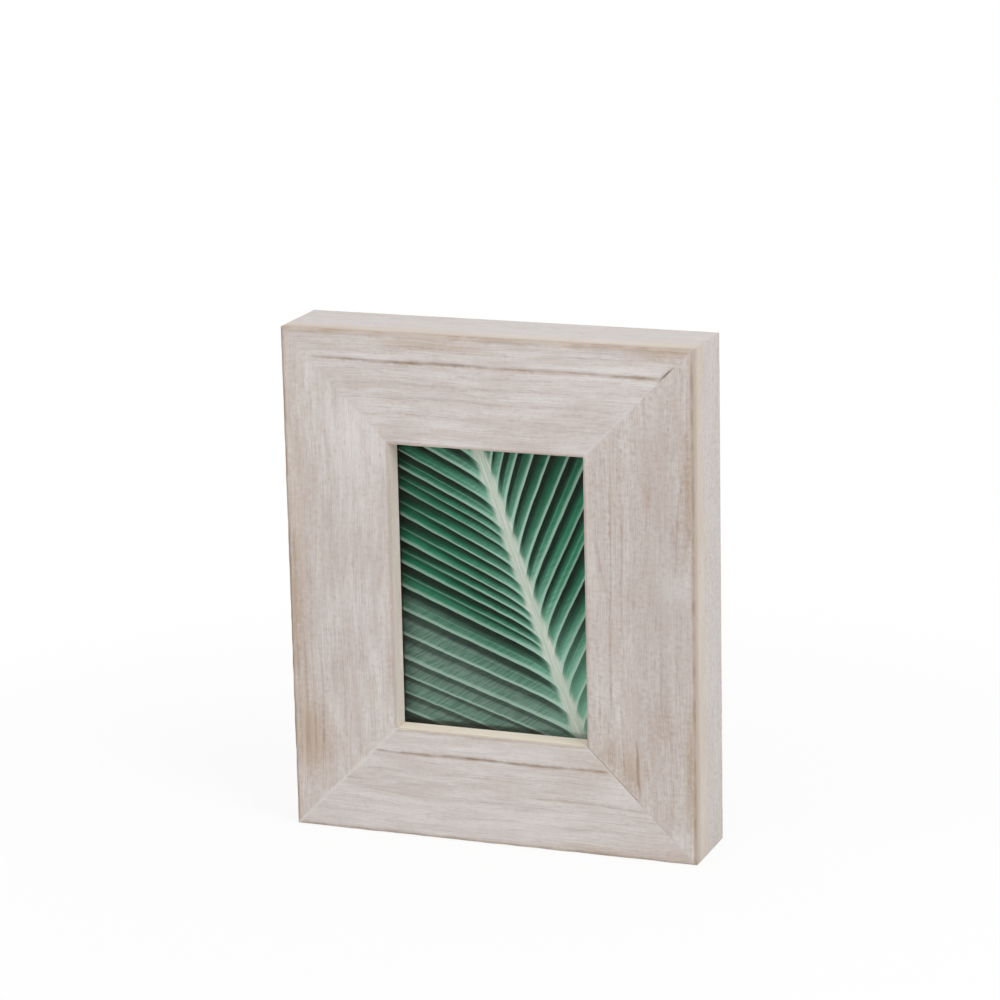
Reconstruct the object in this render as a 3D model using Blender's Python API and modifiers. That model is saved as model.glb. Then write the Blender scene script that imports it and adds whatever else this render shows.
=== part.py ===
"""Deep picture frame: four mitred rails, glazed in front and closed from behind.

The frame stands on its bottom rail with its face towards -Y and its left stile at -X. Every rail
is a length of one moulding, so all have the same local frame: x runs inwards from the outer face,
y runs back from the front face and z runs along the rail. What sits on a rail is placed in it.
"""

import math
from dataclasses import dataclass

import bmesh
import bpy
from mathutils import Matrix, Vector

# Opening that the picture is seen through
SIGHT_WIDTH = 0.114
SIGHT_HEIGHT = 0.165

# Section of the moulding
RAIL_FACE = 0.0635
RAIL_DEPTH = 0.050
LIP_THICKNESS = 0.013
REBATE_WIDTH = 0.007
WALL_THICKNESS = 0.018
OUTER_ROUND = 0.0016
SIGHT_ROUND = 0.0012
RIM_ROUND = 0.0008
RECESS_FILLET = 0.0025
MITRE_GAP = 0.0003

# Picture pack, from the front
GLASS_THICKNESS = 0.002
PRINT_THICKNESS = 0.0003
BOARD_THICKNESS = 0.003
GLASS_SEAM = 0.0003
BOARD_EASE = 0.0004
PACK_PLAY = 0.0005

# Gap between two pieces that lie on or in each other
SEAT_GAP = 0.0003

# Folded steel V-nails across the mitres
VNAIL_LEG = 0.006
VNAIL_THICKNESS = 0.0005
VNAIL_DEPTH = 0.010

# Turn buttons that hold the back board, and their screws
BUTTON_REACH = 0.0165
BUTTON_EYE_RADIUS = 0.0052
BUTTON_TIP_RADIUS = 0.0030
BUTTON_THICKNESS = 0.0010
BUTTON_EDGE_ROUND = 0.0002
BUTTON_INSET = 0.0095
BUTTON_SPACING = 0.096
SCREW_RADIUS = 0.0014
SCREW_LENGTH = 0.0105
SCREW_TIP = 0.003
SCREW_HEAD_RADIUS = 0.0032
SCREW_HEAD_HEIGHT = 0.0018
SCREW_HEAD_RIM = 0.0005
CROSS_SPAN = 0.0032
CROSS_WIDTH = 0.0008
CROSS_DEPTH = 0.0010

# Sawtooth hangers and their nails
HANGER_LENGTH = 0.046
HANGER_HEIGHT = 0.0085
HANGER_THICKNESS = 0.0007
HANGER_TAB = 0.007
HANGER_STEP = 0.0022
HANGER_RAISE = 0.0013
TOOTH_PITCH = 0.0026
TOOTH_DEPTH = 0.0016
TOOTH_COUNT = 9
NAIL_RADIUS = 0.0007
NAIL_LENGTH = 0.010
NAIL_TIP = 0.002
NAIL_HEAD_RADIUS = 0.0015
NAIL_HEAD_HEIGHT = 0.0005
NAIL_HEAD_RIM = 0.0002

# How finely round shapes are divided, and how far a cutter runs past what it cuts
ARC_STEPS = 4
TURNED_STEPS = 24
HOLE_SIDES = 16
BEVEL_STEPS = 3
CUT_OVERRUN = 0.002
WELD_DISTANCE = 1e-6
SMOOTH_ANGLE = math.radians(32)
BEVEL_ANGLE = math.radians(40)

# Overall sizes and depths that follow from the ones above
FRAME_WIDTH = SIGHT_WIDTH + 2 * RAIL_FACE
FRAME_HEIGHT = SIGHT_HEIGHT + 2 * RAIL_FACE
CENTRE_Z = FRAME_HEIGHT / 2
PACK_DEPTH = 3 * SEAT_GAP + GLASS_THICKNESS + PRINT_THICKNESS + BOARD_THICKNESS
LEDGE_DEPTH = LIP_THICKNESS + PACK_DEPTH
LEDGE_EDGE = RAIL_FACE - REBATE_WIDTH
HANGER_PROJECTION = SEAT_GAP + HANGER_RAISE + HANGER_THICKNESS
FRONT_Y = -(RAIL_DEPTH + HANGER_PROJECTION) / 2

# Quarter turns about Y that carry the left stile's place to each side, and the corner of the
# frame that lies at each rail's far end
QUARTER_TURNS = {"left_stile": 0, "top_rail": 1, "right_stile": 2, "bottom_rail": 3}
FAR_CORNERS = {
    "left_stile": "top_left",
    "top_rail": "top_right",
    "right_stile": "bottom_right",
    "bottom_rail": "bottom_left",
}

# Turns from a turned shape's own axis, or from a flat plate, to a rail's backward direction
BACKWARDS = Matrix.Rotation(-math.pi / 2, 4, "X")
FACE_BACK = Matrix.Rotation(math.pi / 2, 4, "X")


def new_collection(name, parent):
    """A new collection under another one."""
    collection = bpy.data.collections.new(name)
    parent.children.link(collection)
    return collection


@dataclass
class Bench:
    """What the frame is made on: its parts, its cutters, the rails' pockets and the finishes."""

    parts: bpy.types.Collection
    cutters: bpy.types.Collection
    pockets: bpy.types.Collection
    finishes: dict


def lay_out_bench():
    """Removes whatever the file holds and lays out empty collections and the finishes."""
    for obj in list(bpy.data.objects):
        bpy.data.objects.remove(obj, do_unlink=True)
    root = bpy.context.scene.collection
    parts = new_collection("picture_frame", root)
    cutters = new_collection("cutters", root)
    return Bench(parts, cutters, new_collection("pockets", cutters), make_finishes())


def make_material(name, colour, roughness, metallic=0.0, transmission=0.0):
    """Principled material of one finish."""
    material = bpy.data.materials.new(name)
    material.use_nodes = True
    shader = material.node_tree.nodes["Principled BSDF"]
    shader.inputs["Base Color"].default_value = (*colour, 1.0)
    shader.inputs["Roughness"].default_value = roughness
    shader.inputs["Metallic"].default_value = metallic
    shader.inputs["Transmission Weight"].default_value = transmission
    material.diffuse_color = (*colour, 1.0)
    return material


def make_finishes():
    """Every finish on the frame, by the name of what it is on."""
    return {
        "wood": make_material("limed_wood", (0.58, 0.53, 0.49), 0.72),
        "glass": make_material("glass", (0.95, 0.97, 0.96), 0.03, transmission=1.0),
        "paper": make_material("print_paper", (0.10, 0.28, 0.17), 0.45),
        "board": make_material("fibreboard", (0.33, 0.22, 0.13), 0.80),
        "steel": make_material("plated_steel", (0.62, 0.60, 0.56), 0.32, metallic=1.0),
        "zinc": make_material("zinc_plate", (0.66, 0.66, 0.68), 0.28, metallic=1.0),
    }


def add_object(name, data, collection):
    """Links a new object to one of this file's collections."""
    obj = bpy.data.objects.new(name, data)
    collection.objects.link(obj)
    return obj


def adopt_primitive(name, collection):
    """Names the primitive just added and moves it to one of this file's collections."""
    obj = bpy.context.active_object
    obj.name = obj.data.name = name
    for holder in list(obj.users_collection):
        holder.objects.unlink(obj)
    collection.objects.link(obj)
    return obj


def finish_part(obj, material, smooth=False):
    """Gives a part its material and, where it is round, smooth shading with sharp edges kept."""
    obj.data.materials.clear()
    obj.data.materials.append(material)
    if smooth:
        obj.data.shade_smooth()
        obj.data.set_sharp_from_angle(angle=SMOOTH_ANGLE)
    return obj


def as_cutter(obj):
    """Keeps an object out of sight, because it only shapes others."""
    obj.hide_render = True
    obj.display_type = "WIRE"
    return obj


def baked_mesh(obj, name):
    """The object's mesh, welded, with its modifiers applied; the object itself is used up."""
    depsgraph = bpy.context.evaluated_depsgraph_get()
    depsgraph.update()
    mesh = bpy.data.meshes.new_from_object(obj.evaluated_get(depsgraph))
    mesh.name = name
    bpy.data.objects.remove(obj, do_unlink=True)
    shape = bmesh.new()
    shape.from_mesh(mesh)
    bmesh.ops.remove_doubles(shape, verts=shape.verts, dist=WELD_DISTANCE)
    bmesh.ops.recalc_face_normals(shape, faces=shape.faces)
    shape.to_mesh(mesh)
    shape.free()
    return mesh


def baked(obj, collection):
    """Replaces an object by a plain mesh object of the same name, shape and place."""
    name, place = obj.name, obj.matrix_world.copy()
    plain = add_object(name, baked_mesh(obj, name), collection)
    plain.matrix_world = place
    return plain


def arc(centre, radius, start, end, steps=ARC_STEPS):
    """Points of a circular arc; angles in degrees, both ends included."""
    turns = [math.radians(start + (end - start) * step / steps) for step in range(steps + 1)]
    return [(centre[0] + radius * math.cos(turn), centre[1] + radius * math.sin(turn))
            for turn in turns]


def flat_plate(name, outlines, thickness, collection):
    """A plate in the XY plane, centred on it. An outline inside another one is a hole."""
    curve = bpy.data.curves.new(name, "CURVE")
    curve.dimensions = "2D"
    curve.fill_mode = "BOTH"
    curve.extrude = thickness / 2
    for outline in outlines:
        spline = curve.splines.new("POLY")
        spline.points.add(len(outline) - 1)
        for point, (x, y) in zip(spline.points, outline):
            point.co = (x, y, 0.0, 1.0)
        spline.use_cyclic_u = True
    return baked(add_object(name, curve, collection), collection)


def folded_strip(name, path, width, thickness, collection):
    """A strip of sheet metal: a path in the XZ plane, swept along Y and given a thickness."""
    shape = bmesh.new()
    verts = [shape.verts.new((x, 0.0, z)) for x, z in path]
    edges = [shape.edges.new(pair) for pair in zip(verts, verts[1:])]
    swept = bmesh.ops.extrude_edge_only(shape, edges=edges)
    moved = [item for item in swept["geom"] if isinstance(item, bmesh.types.BMVert)]
    bmesh.ops.translate(shape, verts=moved, vec=(0.0, width, 0.0))
    mesh = bpy.data.meshes.new(name)
    shape.to_mesh(mesh)
    shape.free()
    strip = add_object(name, mesh, collection)
    wall = strip.modifiers.new("thickness", "SOLIDIFY")
    wall.thickness = thickness
    wall.offset = 0.0
    wall.use_even_offset = True
    return baked(strip, collection)


def turned(name, profile, collection, steps=TURNED_STEPS):
    """A solid turned about Z from a profile that starts and ends on the axis."""
    mesh = bpy.data.meshes.new(name)
    mesh.from_pydata([(x, 0.0, z) for x, z in profile],
                     [(index, index + 1) for index in range(len(profile) - 1)], [])
    lathe = add_object(name, mesh, collection)
    screw = lathe.modifiers.new("turned", "SCREW")
    screw.steps = screw.render_steps = steps
    screw.use_merge_vertices = True
    screw.merge_threshold = WELD_DISTANCE
    return baked(lathe, collection)


def box(name, size, collection):
    """A box round its own centre, with its scale applied."""
    bpy.ops.mesh.primitive_cube_add(size=1.0)
    obj = adopt_primitive(name, collection)
    obj.data.transform(Matrix.Diagonal((*size, 1.0)))
    return obj


def drill(name, radius, depth, collection):
    """A round cutter along Z that reaches down by its depth from the face at z = 0."""
    bpy.ops.mesh.primitive_cylinder_add(vertices=HOLE_SIDES, radius=radius,
                                        depth=depth + CUT_OVERRUN)
    obj = adopt_primitive(name, collection)
    obj.data.transform(Matrix.Translation((0.0, 0.0, (CUT_OVERRUN - depth) / 2)))
    return as_cutter(obj)


def ease_edges(obj, width, segments=BEVEL_STEPS):
    """Rounds the sharp edges of an object with a Bevel, or chamfers them with one segment."""
    bevel = obj.modifiers.new("eased_edges", "BEVEL")
    bevel.width = width
    bevel.segments = segments
    bevel.limit_method = "ANGLE"
    bevel.angle_limit = BEVEL_ANGLE
    return obj


def cut(obj, tool, operation="DIFFERENCE"):
    """Cuts an object with another one, or with all of a collection."""
    modifier = obj.modifiers.new(operation.lower(), "BOOLEAN")
    modifier.operation = operation
    modifier.solver = "EXACT"
    if isinstance(tool, bpy.types.Collection):
        modifier.operand_type = "COLLECTION"
        modifier.collection = tool
    else:
        modifier.object = tool


def rail_length(side):
    """Outer length of a rail, from mitre tip to mitre tip."""
    return FRAME_HEIGHT if side.endswith("stile") else FRAME_WIDTH


def rail_matrix(side):
    """Carries the moulding's local frame to its side of the picture frame."""
    reach = FRAME_WIDTH / 2 if side.endswith("stile") else FRAME_HEIGHT / 2
    turn = Matrix.Rotation(QUARTER_TURNS[side] * math.pi / 2, 4, "Y")
    centre = Matrix.Translation((0.0, FRONT_Y, CENTRE_Z))
    return centre @ turn @ Matrix.Translation((-reach, 0.0, 0.0))


def on_rail(obj, side, place, turn=None):
    """Places an object at (inset, depth, along) of a rail's local frame."""
    obj.matrix_world = rail_matrix(side) @ Matrix.Translation(place) @ (turn or Matrix())
    return obj


def moulding_outline():
    """Section of the moulding, left rough outside, where the eased block trims it to size."""
    rough = CUT_OVERRUN
    outline = [(-rough, -rough), (RAIL_FACE - SIGHT_ROUND, -rough)]
    outline += arc((RAIL_FACE - SIGHT_ROUND, SIGHT_ROUND), SIGHT_ROUND, -90, 0)
    outline += [(RAIL_FACE, LIP_THICKNESS), (LEDGE_EDGE, LIP_THICKNESS), (LEDGE_EDGE, LEDGE_DEPTH)]
    corner = (WALL_THICKNESS + RECESS_FILLET, LEDGE_DEPTH + RECESS_FILLET)
    outline += arc(corner, RECESS_FILLET, 270, 180)
    outline += arc((WALL_THICKNESS - RIM_ROUND, RAIL_DEPTH - RIM_ROUND), RIM_ROUND, 0, 90)
    outline += [(WALL_THICKNESS - RIM_ROUND, RAIL_DEPTH + rough), (-rough, RAIL_DEPTH + rough)]
    return outline


def saw_mitres(stock, length):
    """Cuts both ends of a length of moulding at 45 degrees and closes them."""
    shape = bmesh.new()
    shape.from_mesh(stock.data)
    for end in (1, -1):
        normal = Vector((1.0, 0.0, end)).normalized()
        tip = Vector((0.0, 0.0, end * length / 2)) - normal * MITRE_GAP / 2
        whole = shape.verts[:] + shape.edges[:] + shape.faces[:]
        sawn = bmesh.ops.bisect_plane(shape, geom=whole, dist=WELD_DISTANCE, plane_co=tip,
                                      plane_no=normal, clear_outer=True)
        rim = [item for item in sawn["geom_cut"] if isinstance(item, bmesh.types.BMEdge)]
        bmesh.ops.edgeloop_fill(shape, edges=rim)
    bmesh.ops.recalc_face_normals(shape, faces=shape.faces)
    shape.to_mesh(stock.data)
    shape.free()


def make_rails(bench):
    """Four lengths of the moulding, mitred, eased outside as one block and drilled behind."""
    block = box("eased_block", (FRAME_WIDTH, RAIL_DEPTH, FRAME_HEIGHT), bench.cutters)
    block.location = (0.0, FRONT_Y + RAIL_DEPTH / 2, CENTRE_Z)
    as_cutter(ease_edges(block, OUTER_ROUND))
    for side in QUARTER_TURNS:
        length = rail_length(side)
        rail = flat_plate(side, [moulding_outline()], length + 4 * CUT_OVERRUN, bench.parts)
        saw_mitres(rail, length)
        rail.matrix_world = rail_matrix(side)
        cut(rail, block, "INTERSECT")
        cut(rail, bench.pockets)
        finish_part(rail, bench.finishes["wood"], smooth=True)


def make_pack(bench):
    """Glass pane, print and back board, one behind another in the rebate."""
    width = SIGHT_WIDTH + 2 * (REBATE_WIDTH - PACK_PLAY)
    height = SIGHT_HEIGHT + 2 * (REBATE_WIDTH - PACK_PLAY)
    front = FRONT_Y + LIP_THICKNESS
    for name, thickness, ease, finish in (
        ("glass_pane", GLASS_THICKNESS, GLASS_SEAM, "glass"),
        ("picture_print", PRINT_THICKNESS, None, "paper"),
        ("back_board", BOARD_THICKNESS, BOARD_EASE, "board"),
    ):
        front += SEAT_GAP
        sheet = box(name, (width, thickness, height), bench.parts)
        sheet.location = (0.0, front + thickness / 2, CENTRE_Z)
        if ease is not None:
            ease_edges(sheet, ease, segments=1)
        finish_part(sheet, bench.finishes[finish])
        front += thickness


def vnail_strip(name, clearance, overrun, collection):
    """A V folded square, its point inwards, sunk forwards from the face that it is pressed into."""
    leg = VNAIL_LEG + clearance
    sunk = VNAIL_DEPTH + clearance
    strip = folded_strip(name, [(-leg, 0.0), (0.0, 0.0), (0.0, leg)], sunk + overrun,
                         VNAIL_THICKNESS + 2 * clearance, collection)
    strip.data.transform(Matrix.Translation((0.0, -sunk, 0.0)))
    return strip


def make_vnails(bench):
    """Two V-nails across every mitre: one in the rim behind, one in the ledge."""
    stations = (
        ("rim", WALL_THICKNESS / 2 + VNAIL_LEG / 2, RAIL_DEPTH),
        ("ledge", (WALL_THICKNESS + LEDGE_EDGE) / 2 + VNAIL_LEG / 2, LEDGE_DEPTH),
    )
    for side, corner in FAR_CORNERS.items():
        for station, inset, depth in stations:
            place = (inset, depth, rail_length(side) / 2 - inset)
            name = f"vnail_{corner}_{station}"
            nail = vnail_strip(name, 0.0, 0.0, bench.parts)
            on_rail(finish_part(nail, bench.finishes["steel"]), side, place)
            pocket = vnail_strip(f"{name}_pocket", SEAT_GAP, CUT_OVERRUN, bench.pockets)
            on_rail(as_cutter(pocket), side, place)


def domed_pin_profile(radius, length, tip, head_radius, head_height, head_rim):
    """Profile of a screw or nail, its domed head's underside at z = 0 and its point below."""
    steps = 2 * ARC_STEPS
    dome = []
    for step in range(steps + 1):
        turn = math.pi / 2 * step / steps
        height = head_rim + (head_height - head_rim) * math.cos(turn)
        dome.append((head_radius * math.sin(turn), height))
    return dome + [(head_radius, 0.0), (radius, 0.0), (radius, tip - length), (0.0, -length)]


def sink_pin(mesh, name, radius, length, head_depth, face_depth, side, inset, along, bench):
    """Puts a screw or nail in a rail from behind, and a pocket for its shank."""
    pin = add_object(name, mesh, bench.parts)
    on_rail(finish_part(pin, bench.finishes["zinc"], smooth=True), side,
            (inset, head_depth, along), BACKWARDS)
    sunk = length - (head_depth - face_depth) + SEAT_GAP
    pocket = drill(f"{name}_pocket", radius + SEAT_GAP, sunk, bench.pockets)
    on_rail(pocket, side, (inset, face_depth, along), BACKWARDS)


def make_screw_mesh(bench):
    """The button screw with its cross recess, made once and shared."""
    profile = domed_pin_profile(SCREW_RADIUS, SCREW_LENGTH, SCREW_TIP, SCREW_HEAD_RADIUS,
                                SCREW_HEAD_HEIGHT, SCREW_HEAD_RIM)
    screw = turned("button_screw", profile, bench.parts)
    for number, quarter in enumerate((0, math.pi / 2), start=1):
        slot = box(f"cross_recess_{number}", (CROSS_SPAN, CROSS_WIDTH, CROSS_DEPTH + CUT_OVERRUN),
                   bench.cutters)
        slot.location.z = SCREW_HEAD_HEIGHT + (CUT_OVERRUN - CROSS_DEPTH) / 2
        slot.rotation_euler.z = quarter
        cut(screw, as_cutter(slot))
    return baked_mesh(screw, "button_screw")


def button_outline():
    """A teardrop: a round eye at the screw, drawn in to a smaller round tip."""
    tangent = math.degrees(math.acos((BUTTON_EYE_RADIUS - BUTTON_TIP_RADIUS) / BUTTON_REACH))
    eye = arc((0.0, 0.0), BUTTON_EYE_RADIUS, tangent, 360 - tangent, steps=5 * ARC_STEPS)
    tip = arc((BUTTON_REACH, 0.0), BUTTON_TIP_RADIUS, -tangent, tangent, steps=3 * ARC_STEPS)
    return eye + tip


def make_button_mesh(bench):
    """The pressed steel turn button, its tip along +X and its eye on the origin."""
    eye_hole = arc((0.0, 0.0), SCREW_RADIUS + SEAT_GAP, 0, 360, steps=TURNED_STEPS)[:-1]
    button = flat_plate("turn_button", [button_outline(), eye_hole], BUTTON_THICKNESS, bench.parts)
    button.data.transform(FACE_BACK)
    return baked_mesh(ease_edges(button, BUTTON_EDGE_ROUND, segments=2), "turn_button")


def make_buttons(bench):
    """Six turn buttons on the ledge, tips over the back board, each with its origin on its screw."""
    button_mesh = make_button_mesh(bench)
    screw_mesh = make_screw_mesh(bench)
    inset = LEDGE_EDGE - BUTTON_INSET
    button_depth = LEDGE_DEPTH + SEAT_GAP + BUTTON_THICKNESS / 2
    head_depth = LEDGE_DEPTH + 2 * SEAT_GAP + BUTTON_THICKNESS
    for name, side, along in (
        ("left_upper", "left_stile", BUTTON_SPACING / 2),
        ("left_lower", "left_stile", -BUTTON_SPACING / 2),
        ("top", "top_rail", 0.0),
        ("right_upper", "right_stile", -BUTTON_SPACING / 2),
        ("right_lower", "right_stile", BUTTON_SPACING / 2),
        ("bottom", "bottom_rail", 0.0),
    ):
        button = add_object(f"turn_button_{name}", button_mesh, bench.parts)
        on_rail(finish_part(button, bench.finishes["steel"], smooth=True), side,
                (inset, button_depth, along))
        sink_pin(screw_mesh, f"button_screw_{name}", SCREW_RADIUS, SCREW_LENGTH, head_depth,
                 LEDGE_DEPTH, side, inset, along, bench)


def hanger_path():
    """The hanger seen from its edge: flat tabs, stepped out to a raised middle."""
    end, step = HANGER_LENGTH / 2, HANGER_LENGTH / 2 - HANGER_TAB
    flat = HANGER_THICKNESS / 2
    half = [(step - HANGER_STEP, flat + HANGER_RAISE), (step, flat), (end, flat)]
    return [(-along, depth) for along, depth in reversed(half)] + half


def tooth_outline():
    """What is cut from the hanger's lower edge: a row of points, a little past the edge."""
    half = TOOTH_PITCH * TOOTH_COUNT / 2
    edge = HANGER_HEIGHT / 2
    outline = [(half, edge + CUT_OVERRUN), (-half, edge + CUT_OVERRUN)]
    for tooth in range(TOOTH_COUNT):
        start = -half + tooth * TOOTH_PITCH
        outline += [(start, edge), (start + TOOTH_PITCH / 2, edge - TOOTH_DEPTH)]
    return outline + [(half, edge)]


def make_hanger(name, side, bench):
    """A sawtooth hanger across the middle of a rail's rim, teeth inwards, with two nails."""
    plate = folded_strip(name, hanger_path(), HANGER_HEIGHT, HANGER_THICKNESS, bench.parts)
    plate.data.transform(Matrix.Translation((0.0, -HANGER_HEIGHT / 2, 0.0)))
    raised = 2 * (HANGER_RAISE + HANGER_THICKNESS)
    cut(plate, as_cutter(flat_plate(f"{name}_teeth", [tooth_outline()], 2 * raised, bench.cutters)))
    along = HANGER_LENGTH / 2 - HANGER_TAB / 2
    for number, place in enumerate((along, -along), start=1):
        hole = drill(f"{name}_hole_{number}", NAIL_RADIUS + SEAT_GAP, CUT_OVERRUN, bench.cutters)
        hole.location.x = place
        cut(plate, hole)
    plate = baked(plate, bench.parts)
    lie_on_rim = Matrix(((0, 1, 0, 0), (0, 0, 1, 0), (1, 0, 0, 0), (0, 0, 0, 1)))
    inset = WALL_THICKNESS / 2
    on_rail(finish_part(plate, bench.finishes["steel"]), side,
            (inset, RAIL_DEPTH + SEAT_GAP, 0.0), lie_on_rim)
    profile = domed_pin_profile(NAIL_RADIUS, NAIL_LENGTH, NAIL_TIP, NAIL_HEAD_RADIUS,
                                NAIL_HEAD_HEIGHT, NAIL_HEAD_RIM)
    nail_mesh = baked_mesh(turned("hanger_nail", profile, bench.parts, HOLE_SIDES), "hanger_nail")
    head_depth = RAIL_DEPTH + 2 * SEAT_GAP + HANGER_THICKNESS
    for number, place in enumerate((along, -along), start=1):
        sink_pin(nail_mesh, f"{name}_nail_{number}", NAIL_RADIUS, NAIL_LENGTH, head_depth,
                 RAIL_DEPTH, side, inset, place, bench)


def main():
    """Builds the whole picture frame."""
    bench = lay_out_bench()
    make_pack(bench)
    make_vnails(bench)
    make_buttons(bench)
    make_hanger("hanger_top", "top_rail", bench)
    make_hanger("hanger_side", "left_stile", bench)
    make_rails(bench)


main()
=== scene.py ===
"""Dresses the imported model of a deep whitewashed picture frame.

The four rails are milled again as finer lengths of moulding, with brushed grain, grooves, worn
arrises and mitres in the mesh. The glass, print, back board and metal parts keep their solids and
get finishes. Lengths are metres, apart from the rails' own frame, the marks on the wood and the
patterns, which are in millimetres.
"""

import logging
import math
from dataclasses import dataclass
from enum import Enum
from functools import partial
from typing import Callable, Iterator, Mapping, Sequence, Union

import bmesh
import bpy
import numpy as np
from mathutils import Euler, Matrix, Vector, noise


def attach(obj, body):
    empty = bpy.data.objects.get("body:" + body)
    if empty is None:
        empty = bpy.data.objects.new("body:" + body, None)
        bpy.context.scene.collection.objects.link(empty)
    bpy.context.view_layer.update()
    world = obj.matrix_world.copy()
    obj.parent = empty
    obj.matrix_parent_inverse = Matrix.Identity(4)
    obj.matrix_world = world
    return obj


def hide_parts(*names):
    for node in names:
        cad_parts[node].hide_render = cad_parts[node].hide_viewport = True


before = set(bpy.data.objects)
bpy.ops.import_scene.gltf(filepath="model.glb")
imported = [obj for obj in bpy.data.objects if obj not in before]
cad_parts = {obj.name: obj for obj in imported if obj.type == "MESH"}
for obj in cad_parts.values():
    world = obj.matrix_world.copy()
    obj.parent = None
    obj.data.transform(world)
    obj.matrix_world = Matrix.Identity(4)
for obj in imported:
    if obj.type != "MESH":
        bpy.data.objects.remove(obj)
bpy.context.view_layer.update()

LOG = logging.getLogger("picture_frame")
BODY = "frame"
MM = 0.001
TURN = 2 * math.pi
WELD = 1e-6
PLUMB = 1e-7

Colour = tuple[float, float, float, float]
Place = tuple[float, float, float]

WHITE: Colour = (1.0, 1.0, 1.0, 1.0)


def srgb(*parts: float) -> Colour:
    """Turns red, green and blue as a screen shows them, 0 to 255, into linear light."""
    shares = [part / 255 for part in parts]
    return (*[s / 12.92 if s <= 0.04045 else ((s + 0.055) / 1.055) ** 2.4 for s in shares], 1.0)


# Node maths


class Wire:
    """An output of a material's nodes. Python arithmetic on it adds Math nodes."""

    def __init__(self, recipe: "Recipe", socket: bpy.types.NodeSocket) -> None:
        """Wraps an output socket of a recipe."""
        self.recipe = recipe
        self.socket = socket

    def maths(self, operation: str, *values: "Field") -> "Wire":
        """Adds one Math node that works on these values."""
        return self.recipe.node("ShaderNodeMath", {"operation": operation}, values)

    def __add__(self, other: "Field") -> "Wire":
        """Adds."""
        return self.maths("ADD", self, other)

    def __sub__(self, other: "Field") -> "Wire":
        """Takes away."""
        return self.maths("SUBTRACT", self, other)

    def __rsub__(self, other: "Field") -> "Wire":
        """Is taken away."""
        return self.maths("SUBTRACT", other, self)

    def __mul__(self, other: "Field") -> "Wire":
        """Multiplies."""
        return self.maths("MULTIPLY", self, other)

    def __neg__(self) -> "Wire":
        """Turns the sign."""
        return self.maths("MULTIPLY", self, -1.0)

    __radd__ = __add__
    __rmul__ = __mul__


Field = Union[Wire, np.ndarray, float]


def worked(operation: str, function: Callable[..., Field], *values: Field) -> Field:
    """Works out a function on node sockets or numbers, so that mesh and finish share a formula.

    Args:
        operation: The Math node's operation.
        function: The same function on numbers or arrays.
        values: What it is worked out on.

    Returns:
        A socket if any value is one, and otherwise a number or an array.
    """
    for value in values:
        if isinstance(value, Wire):
            return value.maths(operation, *values)
    return function(*values)


size_of = partial(worked, "ABSOLUTE", np.abs)
sine = partial(worked, "SINE", np.sin)
exponential = partial(worked, "EXPONENT", np.exp)
root = partial(worked, "SQRT", np.sqrt)
floor = partial(worked, "FLOOR", np.floor)
smaller = partial(worked, "MINIMUM", np.minimum)
larger = partial(worked, "MAXIMUM", np.maximum)


def ramp(value: Field, low: float, high: float) -> Field:
    """Rises smoothly from 0 at one value to 1 at a higher one.

    Args:
        value: What is compared.
        low: Where the rise starts.
        high: Where it ends.

    Returns:
        A mask from 0 to 1.
    """
    if isinstance(value, Wire):
        inputs = {"Value": value, "From Min": low, "From Max": high}
        return value.recipe.node("ShaderNodeMapRange", {"interpolation_type": "SMOOTHSTEP"}, inputs)
    part = np.clip((value - low) / (high - low), 0.0, 1.0)
    return part * part * (3 - 2 * part)


def bell(value: Field, centre: Field, width: float) -> Field:
    """Gives 1 at the centre and falls to about a third at the width on both sides."""
    away = (value - centre) * (1 / width)
    return exponential(-(away * away))


def fading(reach: Field, long: float) -> Field:
    """Gives 1 at no reach and falls to about a third at a length."""
    return exponential(reach * (-1 / long))


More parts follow.
